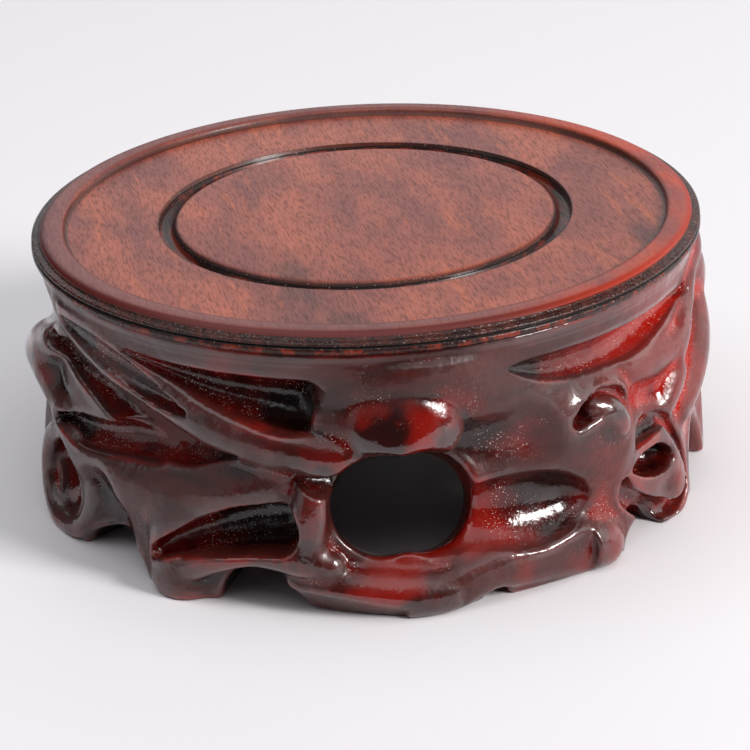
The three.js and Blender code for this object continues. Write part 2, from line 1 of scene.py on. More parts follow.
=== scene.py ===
"""A round display stand: a turned top board of rosewood on a ring that is carved as tangled roots.

The strokes of the carving are drawn on the unrolled side of a turned blank, cut into a field of
distances on a ring-shaped grid, and the field's surface becomes the mesh. Strokes and profile are
in degrees and millimetres, and the mesh is in metres. The front of the stand faces -Y.
"""

import json
import math

import bpy
import numpy as np
from mathutils import Matrix, Vector

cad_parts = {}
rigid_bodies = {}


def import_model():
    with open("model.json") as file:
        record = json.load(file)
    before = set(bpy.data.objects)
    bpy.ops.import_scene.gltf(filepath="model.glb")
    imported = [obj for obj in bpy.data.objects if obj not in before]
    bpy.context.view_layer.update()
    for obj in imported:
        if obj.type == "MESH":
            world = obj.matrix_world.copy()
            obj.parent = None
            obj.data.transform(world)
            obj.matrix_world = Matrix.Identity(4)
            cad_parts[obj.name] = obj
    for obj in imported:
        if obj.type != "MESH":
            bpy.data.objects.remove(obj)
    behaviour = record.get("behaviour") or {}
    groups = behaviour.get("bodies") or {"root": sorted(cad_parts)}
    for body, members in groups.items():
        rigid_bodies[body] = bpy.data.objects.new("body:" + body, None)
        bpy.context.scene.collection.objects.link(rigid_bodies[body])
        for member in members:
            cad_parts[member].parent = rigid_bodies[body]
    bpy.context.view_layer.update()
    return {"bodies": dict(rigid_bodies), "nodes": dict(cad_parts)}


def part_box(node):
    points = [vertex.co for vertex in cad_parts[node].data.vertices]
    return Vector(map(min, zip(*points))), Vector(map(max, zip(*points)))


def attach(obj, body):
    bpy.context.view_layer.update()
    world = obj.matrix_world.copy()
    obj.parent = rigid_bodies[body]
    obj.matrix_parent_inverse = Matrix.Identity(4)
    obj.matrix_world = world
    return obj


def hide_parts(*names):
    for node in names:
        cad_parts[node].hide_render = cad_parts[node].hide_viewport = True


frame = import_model()

BODY = next(iter(frame["bodies"]))
MM = 0.001

# Sizes that come from the frame
board_low, board_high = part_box("top_board")
STAND_HEIGHT = board_high[2] / MM
RIM_RADIUS = board_high[0] / MM
BASE_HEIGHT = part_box("carved_base")[1][2] / MM
STEP_HEIGHT = board_low[2] / MM

# The turned board
RECESS_RADIUS = 50.0
RECESS_DEPTH = 1.2
DISC_RADIUS = 31.8
GROOVE_WIDTH = 2.6
GROOVE_DEPTH = 1.7
CROWN_WIDTH = 4.0
LIP_DROP = 1.0
SEAT_RADIUS = 48.5
FIT_GAP = 0.3

# Radii and heights of the board that follow from these
FIELD_HEIGHT = STAND_HEIGHT - RECESS_DEPTH
GROOVE_FLOOR = FIELD_HEIGHT - GROOVE_DEPTH
GROOVE_END = DISC_RADIUS + GROOVE_WIDTH
CROWN_END = RECESS_RADIUS + CROWN_WIDTH
LIP_HEIGHT = STAND_HEIGHT - LIP_DROP
STEP_RADIUS = SEAT_RADIUS - FIT_GAP
PAST_RIM = RIM_RADIUS + 4.5

# The turned blank of the base
BORE_RADIUS = 41.0
HOLLOW_FOOT_RADIUS = 46.0
HOLLOW_TAPER_HEIGHT = 22.0
FOOT_RADIUS = 56.2
WAIST_RADIUS = 53.0
WAIST_HEIGHT = 33.0
SHOULDER_RADIUS = 54.6
SHOULDER_HEIGHT = 2.5
FLARE_EXPONENT = 1.3

# How wide a stroke melts into what is there
SOFT = 2.8
FIRM = 1.6
CRISP = 0.5
OPENING_BLEND = 1.2
BORE_BLEND = 1.2
EDGE_BLEND = 0.5


def swell(blend, points):
    """A limb that stands out. Its points are [angle, height, half width, rise]."""
    return "swell", blend, points


def scoop(blend, points):
    """A hollow with an arc section. Its points are [angle, height, half width, depth]."""
    return "scoop", blend, points


def gouge(blend, points):
    """A half-round groove through what stands out. Its points are as a scoop's."""
    return "gouge", blend, points


def facet(blend, place):
    """A flat cut, [angle, height, level, reach, turn, pitch]: it takes what lies above a plane."""
    return "facet", blend, place


def opening(angle, height, half_width, half_height, tilt, fall):
    """An oval cut through the wall, which drops by fall on its way in."""
    return "opening", OPENING_BLEND, [angle, height, half_width, half_height, tilt, fall]


CARVING = [
    # The left trunk, from under the rim to the lobe beside the front hole
    swell(SOFT, [
        [-64, 38, 3.0, 0.7], [-52, 35.6, 3.2, 1.4], [-43, 33.8, 3.0, 2.0], [-35, 31.4, 3.0, 2.4],
        [-26, 28.8, 3.6, 2.8], [-17, 27, 4.0, 3.2]
    ]),
    swell(FIRM, [
        [-20, 27.8, 3.4, 2.6], [-14, 27, 3.6, 3.6], [-9, 26.2, 3.8, 4.2], [-5.6, 26, 3.6, 4.4],
        [-3.8, 25.8, 3.0, 4.0]
    ]),
    # The left knot and the branch that carries it
    swell(FIRM, [
        [-100, 20.4, 3.2, 1.6], [-93, 22.4, 4.4, 3.6], [-86, 24.4, 4.8, 4.7], [-79, 24, 4.4, 3.8],
        [-72, 21, 3.4, 2.2], [-66, 18, 2.2, 1.0]
    ]),
    swell(FIRM, [[-84, 25.6, 4.0, 4.2], [-77, 28.8, 3.4, 3.2], [-69, 32, 2.4, 1.4]]),
    # The branch under the deep left hollow
    swell(SOFT, [
        [-68, 19.5, 2.6, 1.6], [-60, 15.6, 3.4, 1.8], [-49, 14.6, 4.0, 1.8], [-39, 15.4, 4.6, 2.4],
        [-29, 17.2, 4.4, 2.8], [-18, 19.6, 3.6, 2.4]
    ]),
    # The left front foot and its toe, which reaches right to the pillar
    swell(FIRM, [[-35, 15, 4.4, 2.4], [-35.4, 8, 4.8, 3.2], [-34, 1.5, 4.8, 3.2]]),
    swell(CRISP, [
        [-36, 2.6, 3.2, 3.0], [-28, 7.2, 2.2, 3.4], [-20, 9.6, 1.8, 3.4], [-13, 9.6, 2.2, 4.0],
        [-8, 8.4, 2.0, 3.4]
    ]),
    # The pillar left of the front hole
    swell(FIRM, [[-10, 22, 2.4, 2.4], [-10.8, 16.6, 2.8, 3.8], [-11.8, 10, 3.0, 3.8]]),
    # The broad right trunk
    swell(SOFT, [
        [10, 37.5, 4.0, 1.0], [20, 31.5, 6.0, 2.2], [31, 25.5, 7.0, 3.0], [43, 18, 5.4, 2.8]
    ]),
    # The right front foot
    swell(FIRM, [
        [14, 4.6, 3.4, 2.6], [22, 5.4, 4.0, 3.2], [31, 5.2, 4.4, 3.4], [39, 3.6, 4.0, 3.0]
    ]),
    # The root that crosses in front of the hole
    swell(FIRM, [
        [-13, 4.0, 3.4, 2.8], [-5, 4.0, 4.0, 3.8], [4, 3.2, 4.0, 4.0], [11, 3.2, 3.4, 3.4],
        [16, 5, 2.4, 2.4]
    ]),
    # The ridge that falls from the rim to the right scroll
    swell(FIRM, [
        [86, 40.2, 2.4, 0.8], [77, 34.8, 2.6, 1.8], [70, 29, 2.8, 2.4], [60, 28, 2.6, 1.6],
        [50, 29.4, 2.2, 0.8]
    ]),
    swell(FIRM, [[70, 29, 2.6, 2.0], [64, 23, 2.8, 2.4], [60, 19.5, 2.4, 1.6]]),
    # The right knot and its branch
    swell(SOFT, [
        [104, 25, 4.4, 2.2], [96, 29, 4.8, 4.0], [89, 32.5, 4.4, 3.8], [84, 36, 3.4, 1.8]
    ]),
    # The slope from the right knot down to the right scroll, and the foot behind it
    swell(FIRM, [[90, 29, 4.6, 3.2], [82, 24, 4.8, 3.8], [74, 19.4, 4.0, 3.0], [67, 16, 2.6, 1.8]]),
    swell(FIRM, [[86, 16, 3.4, 1.4], [88, 8, 3.6, 1.2], [88.4, 0.5, 3.8, 0.5]]),
    # The rear right trunk, which runs down into a foot
    swell(SOFT, [
        [103, 39.5, 3.2, 1.0], [111, 34, 3.8, 2.0], [119, 28.5, 4.2, 2.8], [129, 24, 4.2, 3.0],
        [139, 18, 4.2, 2.8]
    ]),
    swell(FIRM, [[139, 18, 4.0, 2.6], [144, 10, 4.4, 2.8], [145, 1.5, 4.8, 3.0]]),
    swell(FIRM, [[110, 22, 3.6, 1.8], [111, 12, 4.2, 1.8], [112, 2, 4.6, 1.4]]),
    # The rear trunk and its two feet
    swell(SOFT, [
        [209, 38.5, 3.4, 1.0], [198, 35, 3.8, 1.8], [186, 31, 4.2, 2.6], [174, 28.4, 4.4, 3.0],
        [161, 26, 4.4, 2.8], [150, 21.5, 3.8, 2.4]
    ]),
    swell(FIRM, [[186, 13, 3.6, 1.8], [181, 6, 4.6, 2.6], [179, 1, 5.0, 2.8]]),
    swell(FIRM, [[206, 25, 4.0, 2.4], [210, 14, 4.4, 2.8], [211, 2, 4.8, 3.0]]),
    # The rear left trunk and its two feet
    swell(SOFT, [
        [-95, 38.5, 3.2, 0.8], [-105, 34.4, 3.6, 2.0], [-115, 30, 4.2, 2.8], [-127, 27, 4.2, 2.8],
        [-138, 27.6, 3.8, 2.4], [-148, 30.5, 3.2, 1.6]
    ]),
    swell(FIRM, [[-112, 20, 3.6, 2.2], [-116, 11, 4.2, 2.6], [-118, 2, 4.8, 3.0]]),
    swell(FIRM, [[-95, 17, 3.2, 1.6], [-92, 9, 4.0, 1.8], [-91, 1.5, 4.2, 1.6]]),
    # The leaf-shaped hollow under the rim, left of the front knot, and the narrow one beside it
    scoop(CRISP, [
        [-45, 38, 0.3, 0.3], [-40, 37.4, 0.8, 0.9], [-34, 36.5, 1.6, 2.0], [-27, 35.3, 2.8, 3.4],
        [-20, 34.4, 3.7, 4.6], [-14, 33.8, 4.2, 5.2], [-9.8, 34.4, 3.6, 4.4], [-6.8, 36, 1.6, 2.0]
    ]),
    scoop(CRISP, [
        [-62, 37.4, 1.0, 0.3], [-53, 36.4, 1.9, 0.6], [-46, 34.9, 2.0, 0.9], [-40, 33.2, 1.8, 1.2],
        [-35, 31.7, 1.2, 1.0], [-31.5, 30.9, 0.4, 0.3]
    ]),
    # The deep left hollow and its lower facet
    scoop(CRISP, [
        [-72, 31.4, 1.4, 1.4], [-64, 30.6, 2.6, 3.4], [-56, 29.2, 3.0, 4.6], [-48, 27.2, 3.4, 5.6],
        [-40, 25.2, 3.7, 5.8], [-33, 24.2, 2.8, 4.4], [-27, 24.4, 1.2, 2.0], [-22.5, 25, 0.4, 0.5]
    ]),
    scoop(CRISP, [
        [-67, 19.4, 1.0, 1.0], [-60, 19.8, 2.2, 2.6], [-53, 20.8, 2.5, 3.6], [-46, 22, 2.6, 4.8],
        [-39, 22.6, 2.2, 4.8]
    ]),
    # The fall between the left scroll and the left foot
    scoop(FIRM, [[-53, 11, 3.4, 1.2], [-50, 6, 4.4, 2.4], [-49, -1, 5.2, 3.6]]),
    # The wedge over the left toe
    scoop(CRISP, [
        [-38, 6.2, 0.8, 0.8], [-35.5, 8.0, 1.5, 1.8], [-29, 10.8, 2.6, 3.6], [-22, 13.2, 3.8, 4.8],
        [-16.5, 14.2, 4.0, 5.0]
    ]),
    # The fold under the lobe
    gouge(CRISP, [
        [-12.6, 22.6, 0.8, 0.4], [-9.6, 21.8, 1.6, 1.6], [-6.4, 21.6, 2.2, 3.2], [-3, 22, 2.0, 3.6]
    ]),
    # The long slit under the rim on the right
    scoop(CRISP, [
        [22.4, 37.2, 0.3, 0.4], [27, 36.4, 1.6, 1.2], [33, 35.5, 2.4, 1.8], [40, 34.9, 2.9, 2.6],
        [48, 34.6, 3.0, 3.6], [56, 34.6, 2.8, 4.0], [64, 34.9, 2.2, 3.0], [73, 35, 0.5, 0.6]
    ]),
    # The dark hollow right of the front hole and the shade above it
    scoop(CRISP, [
        [9.5, 12.6, 4.6, 3.8], [15.5, 13.8, 5.0, 3.6], [21, 14.2, 5.4, 3.2], [27, 13.6, 5.2, 2.8],
        [32, 12.8, 3.8, 2.6], [35.4, 12.4, 1.6, 1.6]
    ]),
    scoop(SOFT, [[12, 26.4, 2.6, 1.8], [17, 25.2, 4.0, 1.8], [23, 25, 3.2, 0.7]]),
    # The hollow under the right knot, and the one between its two ridges
    scoop(CRISP, [
        [90, 20, 1.2, 1.0], [96, 18.6, 2.8, 3.0], [102, 17.4, 2.4, 2.8], [106, 17, 0.8, 0.8]
    ]),
    scoop(FIRM, [[67, 25, 0.8, 0.8], [73, 28.4, 2.0, 2.0], [80, 32, 1.6, 1.6]]),
    # The rear hollows
    scoop(CRISP, [
        [118, 33, 0.6, 0.6], [112, 29.6, 2.2, 2.6], [109, 24, 2.4, 2.8], [110, 18, 1.0, 1.2]
    ]),
    scoop(CRISP, [
        [121, 37.8, 0.5, 0.5], [130, 36, 2.0, 2.6], [140, 34.4, 3.2, 4.0], [148, 35.2, 2.2, 2.6],
        [154, 37, 0.5, 0.5]
    ]),
    scoop(CRISP, [[131, 17.8, 1.2, 1.4], [132, 13, 3.2, 3.6], [129, 9.4, 2.2, 2.4]]),
    scoop(CRISP, [[151, 17.4, 1.4, 1.4], [156, 14.6, 3.6, 3.8], [161, 11.4, 2.4, 2.8]]),
    scoop(CRISP, [
        [160, 36.6, 0.6, 0.6], [170, 35, 2.2, 2.8], [182, 36.4, 2.2, 2.6], [194, 38.2, 0.5, 0.5]
    ]),
    scoop(CRISP, [[193, 25, 1.0, 1.2], [197, 18.5, 3.2, 3.8], [195, 12.5, 2.4, 2.8]]),
    scoop(CRISP, [
        [-147, 37.2, 0.5, 0.6], [-136, 34.8, 2.6, 3.2], [-124, 35, 3.0, 3.6], [-112, 37.8, 0.6, 0.6]
    ]),
    scoop(CRISP, [[-143, 13.6, 1.2, 1.2], [-136, 12.4, 3.0, 3.4], [-129, 10.4, 1.6, 1.8]]),
    scoop(CRISP, [
        [-103, 28, 1.0, 1.0], [-101, 22.5, 2.8, 3.4], [-103, 16.5, 3.0, 3.6], [-106, 11.6, 1.2, 1.4]
    ]),
    # The front knot with its tail to the left and its worn face
    swell(SOFT, [[-4, 34.6, 4.4, 1.6], [4.6, 35.0, 5.0, 3.0], [14, 34.6, 4.4, 1.6]]),
    swell(FIRM, [[-8.4, 31.4, 1.6, 1.4], [-4.2, 31, 3.2, 3.0], [0, 30.6, 4.4, 4.2]]),
    swell(CRISP, [[1.0, 30.4, 6.2, 5.2], [4.6, 30.2, 7.2, 5.8], [8.2, 30.4, 6.2, 5.0]]),
    facet(0.4, [4.6, 24.8, 4.6, 9, 0, -38]),
    facet(0.5, [3.6, 31.4, 4.8, 8, -6, 20]),
    # The small knot on the right trunk: a worn cup with a spur in it
    swell(FIRM, [[36.4, 26.6, 4.8, 3.2], [42, 25.8, 5.0, 3.6]]),
    gouge(CRISP, [
        [34, 26.2, 1.2, -0.6], [36.4, 27.4, 1.7, 0.6], [40, 28, 1.7, 0.4], [43.4, 27.2, 1.7, 0.2],
        [45.6, 25.2, 1.3, -0.6]
    ]),
    swell(CRISP, [
        [38.4, 27, 1.6, 2.8], [41, 25.6, 2.2, 3.8], [42.8, 23.4, 1.9, 3.8], [43.4, 21.6, 1.1, 3.0]
    ]),
    # The soft dimple above the right scroll
    scoop(FIRM, [[50.8, 24.6, 1.4, 0.8], [53.6, 22.8, 2.4, 1.6], [56.6, 23, 1.4, 0.8]]),
    # The rear knots
    swell(CRISP, [[150, 31, 4.2, 3.6], [154, 30.4, 4.8, 4.4], [157, 30, 4.0, 3.6]]),
    scoop(CRISP, [[152.6, 30.8, 2.6, 0.6], [155, 30.4, 2.6, 0.6]]),
    swell(CRISP, [[-142, 22.4, 3.4, 3.0], [-139.4, 20.6, 3.8, 3.6], [-138, 18.4, 3.0, 2.8]]),
    # The right scroll: its mound, the groove round it, the pocket above and the heart
    swell(FIRM, [[48, 13, 5.6, 1.2], [54, 12, 7.2, 1.6], [59, 9.8, 6.6, 1.8], [61, 4.4, 4.8, 1.8]]),
    gouge(CRISP, [
        [53.5, 20.2, 0.5, 0.4], [58, 17.8, 1.0, 1.0], [61.5, 13, 1.3, 1.2], [63.8, 8, 1.4, 1.4],
        [62.6, 4.2, 1.4, 1.6], [58.8, 2.2, 1.5, 2.2], [53.4, 3.9, 1.8, 2.8], [48.6, 6.6, 1.9, 3.0],
        [45.4, 9.6, 1.6, 2.6], [44.6, 12.2, 0.8, 1.4]
    ]),
    gouge(CRISP, [[48.4, 17.6, 1.2, 0.8], [52, 18.5, 1.9, 1.6], [55.8, 18.1, 1.3, 0.8]]),
    gouge(CRISP, [
        [47.4, 13.6, 0.9, 1.4], [51, 13, 2.2, 3.4], [54.6, 12.3, 2.4, 4.0], [57, 11.8, 1.5, 2.4]
    ]),
    # The left scroll: its hollow and the ring round it
    scoop(CRISP, [[-68, 10.2, 4.6, 4.4], [-66.4, 7.2, 4.6, 4.4]]),
    swell(CRISP, [
        [-66, 17, 1.8, 1.6], [-59.5, 15, 1.8, 1.2], [-56.8, 9, 1.8, 1.0], [-60, 2.6, 1.8, 1.4],
        [-67, 0.8, 1.9, 2.0], [-73.5, 3.4, 1.9, 2.4], [-75.6, 9, 1.9, 2.6], [-72.6, 14.6, 1.8, 2.4],
        [-66, 17, 1.8, 1.6]
    ]),
    # The underside of the front root, and the worn face of the right front foot
    facet(0.4, [-5, 4.6, 3.8, 9, -13, -40]),
    facet(0.9, [24, 4.6, 2.3, 11, 4, -6]),
]

OPENINGS = [
    # The front hole, in two overlapping rounds that fall inwards
    opening(0.6, 16.6, 7.9, 8.6, 0, 6),
    opening(7.4, 16.8, 7.9, 8.6, 0, 6),
    # The arches between the feet, from the left front foot to the right
    opening(-50, -1.5, 8.6, 6.4, 0, 0),
    opening(-19.4, -0.4, 7.0, 7.6, 4, 0),
    opening(18.6, -1, 2.2, 3.2, 0, 0),
    opening(50, -1.5, 5.6, 5.8, 0, 0),
    opening(76.4, -1, 7.2, 11.4, 0, 0),
    opening(98.6, -1, 5.6, 6.6, 0, 0),
    opening(128.5, -1, 5.7, 8.0, -6, 0),
    opening(162, -1, 5.7, 6.8, 0, 0),
    opening(195, -1, 5.7, 6.8, 5, 0),
    opening(226.5, -1, 5.7, 7.8, 0, 0),
    opening(255.5, -1, 5.6, 6.4, 0, 0),
    opening(276.5, -1, 3.2, 4.0, 0, 0),
    # The rear holes
    opening(121, 17.4, 4.4, 5.4, 18, 2),
    opening(171.5, 18.6, 7.2, 6.2, 0, 2),
    opening(-125, 17.6, 5.0, 6.0, -14, 2),
    # The hearts of the right scroll and the left scroll
    opening(53.4, 12.6, 2.2, 1.5, 20, 2),
    opening(-68.8, 8.2, 1.9, 3.6, 8, 0),
]

# The grid round the ring, in degrees and millimetres
GRID_COLUMNS = 760
GRID_STEP = 0.43
GRID_MARGIN = 3 * GRID_STEP
GRID_INNER_RADIUS = BORE_RADIUS - 4
GRID_OUTER_RADIUS = 62.6
ANGLES = np.arange(GRID_COLUMNS) * 360.0 / GRID_COLUMNS - 180.0
HEIGHTS = np.arange(-GRID_MARGIN, BASE_HEIGHT + GRID_MARGIN, GRID_STEP)
RADII = np.arange(GRID_INNER_RADIUS, GRID_OUTER_RADIUS, GRID_STEP)

# Steps of a stroke's curve from point to point, and the room left round a stroke's grid points
PATH_STEPS = 8
SPARE = 2.0

# How often the field is averaged, to tell a whole limb's bulge and a narrow edge's
BROAD_PASSES = 14
FINE_PASSES = 3

# The board's mesh: its steps round, and the pinhole left at the axis
BOARD_STEPS = 320
AXIS_GAP = 0.01


def eased(share):
    """A share from 0 to 1 with a soft start and end."""
    return share * share * (3 - 2 * share)


def blank_radius(height):
    """Radius of the turned blank: wide at the floor, a waist, and a shoulder under the board."""
    drop = np.clip(1 - height / WAIST_HEIGHT, 0, None)
    low = WAIST_RADIUS + (FOOT_RADIUS - WAIST_RADIUS) * drop ** FLARE_EXPONENT
    climb = np.clip((height - WAIST_HEIGHT) / (BASE_HEIGHT - WAIST_HEIGHT), 0, 1)
    high = WAIST_RADIUS + (SHOULDER_RADIUS - WAIST_RADIUS) * eased(climb)
    return np.where(height < WAIST_HEIGHT, low, high)


LEVELS = RADII[None, :] - blank_radius(HEIGHTS)[:, None]


def joined(first, second, blend):
    """Two distances as one solid, with a soft fillet between them."""
    overlap = np.clip(blend - np.abs(first - second), 0, None) / blend
    return np.minimum(first, second) - overlap * overlap * blend * 0.25


def cut(body, tool, blend):
    """What is left of a body after a tool, with a softened edge."""
    return -joined(-body, tool, blend)


def arc_length(degrees):
    """Length of an angle round the waist."""
    return np.radians(degrees) * WAIST_RADIUS


def part_of_grid(angle, half_angle, low, high):
    """Index, angles, heights and levels of the grid near an angle and between two heights."""
    turned_by = (ANGLES - angle + 180) % 360 - 180
    columns = np.flatnonzero(np.abs(turned_by) <= half_angle)
    rows = np.flatnonzero((HEIGHTS >= low) & (HEIGHTS <= high))
    angles = turned_by[columns][:, None, None]
    return np.ix_(columns, rows), angles, HEIGHTS[rows][None, :, None], LEVELS[rows][None]


def smooth_path(points):
    """A Catmull-Rom curve through the points of a stroke."""
    ends_meet = points[0] == points[-1]
    known = np.array(points, float)
    before = known[-2] if ends_meet else 2 * known[0] - known[1]
    after = known[1] if ends_meet else 2 * known[-1] - known[-2]
    padded = np.vstack([before, known, after])
    share = np.linspace(0, 1, PATH_STEPS, endpoint=False)[:, None]
    rows = []
    for index in range(1, len(padded) - 2):
        a, b, c, d = padded[index - 1:index + 3]
        rows.append(
            0.5 * (2 * b + (c - a) * share + (2 * a - 5 * b + 4 * c - d) * share ** 2
                   + (3 * b - a - 3 * c + d) * share ** 3)
        )
    return np.vstack(rows + [known[-1:]])


def stroke_section(kind, half_width, rise):
    """Radius of a stroke's round section, and the level of its centre over the blank."""
    if kind == "gouge":
        return half_width, half_width - rise
    rise = np.maximum(rise, 0.02)
    arc = (half_width ** 2 + rise ** 2) / (2 * rise)
    if kind == "swell":
        return arc, rise - arc
    arc = np.where(rise < half_width, arc, half_width)
    return arc, arc - rise


def apply_stroke(field, kind, blend, points):
    """Adds a swell to the field, or cuts a scoop or gouge from it."""
    path = smooth_path(points)
    half_width = np.maximum(path[:, 2], 0.05)
    radius, level = stroke_section(kind, half_width, path[:, 3])
    along = arc_length(path[:, 0])
    height = path[:, 1]
    reach = max(half_width.max(), path[:, 3].max()) + blend + SPARE
    middle = (path[:, 0].min() + path[:, 0].max()) / 2
    half_angle = (path[:, 0].max() - path[:, 0].min()) / 2 + math.degrees(reach / WAIST_RADIUS)
    spot, angles, heights, levels = part_of_grid(
        middle, half_angle, height.min() - reach, height.max() + reach
    )
    sideways = arc_length(angles + middle)
    nearest = np.full(field[spot].shape, np.inf)
    for index in range(len(path) - 1):
        run = along[index + 1] - along[index]
        climb = height[index + 1] - height[index]
        lift = level[index + 1] - level[index]
        across = sideways - along[index]
        upward = heights - height[index]
        outward = levels - level[index]
        if kind == "swell":
            share = across * run + upward * climb + outward * lift
            share = np.clip(share / (run * run + climb * climb + lift * lift), 0, 1)
            outward = outward - share * lift
        else:
            share = np.clip((across * run + upward * climb) / (run * run + climb * climb), 0, 1)
            outward = np.minimum(outward - share * lift, 0)
        thickness = radius[index] + share * (radius[index + 1] - radius[index])
        gap = np.sqrt((across - share * run) ** 2 + (upward - share * climb) ** 2 + outward ** 2)
        nearest = np.minimum(nearest, gap - thickness)
    combine = joined if kind == "swell" else cut
    field[spot] = combine(field[spot], nearest, blend)


def apply_facet(field, blend, place):
    """Takes off what stands above a tilted plane, within the facet's reach."""
    angle, height, level, reach, turn, pitch = place
    half_angle = math.degrees((reach + SPARE) / WAIST_RADIUS)
    spot, angles, heights, levels = part_of_grid(
        angle, half_angle, height - reach - SPARE, height + reach + SPARE
    )
    across = arc_length(angles)
    upward = heights - height
    outward = levels - level
    turn = math.radians(turn)
    pitch = math.radians(pitch)
    above = across * math.sin(turn) * math.cos(pitch) + upward * math.sin(pitch)
    above = above + outward * math.cos(turn) * math.cos(pitch)
    tool = np.maximum(-above, np.sqrt(across ** 2 + upward ** 2 + 0 * outward) - reach)
    field[spot] = cut(field[spot], tool, blend)


def apply_opening(field, blend, place):
    """Cuts an oval hole straight through the wall."""
    angle, height, half_width, half_height, tilt, fall = place
    reach = max(half_width, half_height) + fall + SPARE
    half_angle = math.degrees(reach / BORE_RADIUS)
    spot, angles, heights, _ = part_of_grid(angle, half_angle, height - reach, height + reach)
    drop = fall * (WAIST_RADIUS - RADII) / (WAIST_RADIUS - BORE_RADIUS)
    across = np.sin(np.radians(angles)) * RADII[None, None, :]
    upward = heights - height + drop[None, None, :]
    tilt = math.radians(tilt)
    first = (across * math.cos(tilt) + upward * math.sin(tilt)) / half_width
    second = (upward * math.cos(tilt) - across * math.sin(tilt)) / half_height
    ratio = np.hypot(first, second) + 1e-6
    slope = np.hypot(first / half_width, second / half_height) + 1e-6
    field[spot] = cut(field[spot], ratio * (ratio - 1) / slope, blend)


def carved_field():
    """Distance to the carved surface at every point of the grid, negative inside the wood."""
    field = np.repeat(LEVELS[None].astype(np.float32), GRID_COLUMNS, axis=0)
    for kind, blend, shape in CARVING + OPENINGS:
        if kind == "opening":
            apply_opening(field, blend, shape)
        elif kind == "facet":
            apply_facet(field, blend, shape)
        else:
            apply_stroke(field, kind, blend, shape)
    uncarved = np.clip((HEIGHTS - BASE_HEIGHT + SHOULDER_HEIGHT) / (SHOULDER_HEIGHT * 0.65), 0, 1)
    uncarved = eased(uncarved)[None, :, None]
    field = field * (1 - uncarved) + LEVELS[None] * uncarved
    heights = HEIGHTS[None, :, None]
    radii = RADII[None, None, :]
    widening = np.clip(1 - heights / HOLLOW_TAPER_HEIGHT, 0, 1)
    hollow = BORE_RADIUS + (HOLLOW_FOOT_RADIUS - BORE_RADIUS) * widening
    field = cut(field, radii - hollow, BORE_BLEND)
    field = cut(field, heights + 0 * radii, EDGE_BLEND)
    return cut(field, BASE_HEIGHT - heights + 0 * radii, EDGE_BLEND).astype(np.float32)


def crossing_points(field, inside):
    """One point in each grid cell that the surface runs through, as surface nets place it."""
    columns, rows, layers = field.shape
    wrapped = np.concatenate([field, field[:1]])
    wrapped_inside = np.concatenate([inside, inside[:1]])
    corners = [(a, b, c) for a in (0, 1) for b in (0, 1) for c in (0, 1)]
    count = sum(
        wrapped_inside[a:columns + a, b:rows - 1 + b, c:layers - 1 + c].astype(np.int8)
        for a, b, c in corners
    )
    cells = np.argwhere((count > 0) & (count < 8))
    number = np.full(count.shape, -1, np.int64)
    number[tuple(cells.T)] = np.arange(len(cells))
    total = np.zeros((len(cells), 3))
    hits = np.zeros(len(cells))
    for axis in range(3):
        for corner in corners:
            if corner[axis]:
                continue
            other = tuple(1 if step == axis else corner[step] for step in range(3))
            near = wrapped[tuple((cells + corner).T)]
            far = wrapped[tuple((cells + other).T)]
            crossed = (near < 0) != (far < 0)
            share = np.where(crossed, near / np.where(crossed, near - far, 1), 0)
            place = np.tile(np.array(corner, float), (len(cells), 1))
            place[:, axis] += share
            total += place * crossed[:, None]
            hits += crossed
    return cells + total / hits[:, None], number


def quads_across(inside, number, axis):
    """A quad round every grid edge along an axis whose two ends lie on different sides."""
    ends = np.roll(inside, -1, axis=axis)
    changed = inside != ends
    if axis:
        changed = np.delete(changed, -1, axis=axis)
    edges = np.argwhere(changed)
    others = [step for step in range(3) if step != axis]
    for step in others:
        if step:
            edges = edges[(edges[:, step] > 0) & (edges[:, step] < inside.shape[step] - 1)]
    quads = []
    for first, second in ((0, 0), (1, 0), (1, 1), (0, 1)):
        cell = edges.copy()
        cell[:, others[0]] -= first
        cell[:, others[1]] -= second
        cell[:, 0] %= inside.shape[0]
        quads.append(number[tuple(cell.T)])
    quads = np.stack(quads, 1)
    leaving = inside[tuple(edges.T)]
    if axis == 1:
        leaving = ~leaving
    quads[~leaving] = quads[~leaving][:, ::-1]
    return quads


def surface_of(field):
    """Corners in metres and quads of the field's surface, and each corner's place in the grid."""
    inside = field < 0
    places, number = crossing_points(field, inside)
    quads = np.concatenate([quads_across(inside, number, axis) for axis in range(3)])
    angle = np.radians(ANGLES[0] + places[:, 0] * 360.0 / GRID_COLUMNS)
    height = HEIGHTS[0] + places[:, 1] * GRID_STEP
    radius = RADII[0] + places[:, 2] * GRID_STEP
    corners = np.stack([radius * np.sin(angle), -radius * np.cos(angle), height], 1) * MM
    return corners, quads, places


def blurred(field, passes):
    """The field averaged over its neighbours, several times over."""
    for _ in range(passes):
        field = (np.roll(field, 1, 0) + field + np.roll(field, -1, 0)) / 3
        for axis in (1, 2):
            padded = np.pad(field, [(1, 1) if step == axis else (0, 0) for step in range(3)], "edge")
            low = np.take(padded, range(0, field.shape[axis]), axis)
            high = np.take(padded, range(2, field.shape[axis] + 2), axis)
            field = (low + field + high) / 3
    return field


def mesh_piece(name, corners, quads):
    """A smooth-shaded mesh object that rides on the stand's body."""
    mesh = bpy.data.meshes.new(name)
    mesh.from_pydata(corners.tolist(), [], quads.tolist())
    mesh.polygons.foreach_set("use_smooth", np.ones(len(mesh.polygons), bool))
    piece = bpy.data.objects.new(name, mesh)
    bpy.context.scene.collection.objects.link(piece)
    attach(piece, BODY)
    return piece


def add_corner_values(piece, name, values):
    """A value on every corner of the mesh, which the material reads by name."""
    layer = piece.data.attributes.new(name, "FLOAT", "POINT")
    layer.data.foreach_set("value", np.asarray(values, np.float32))


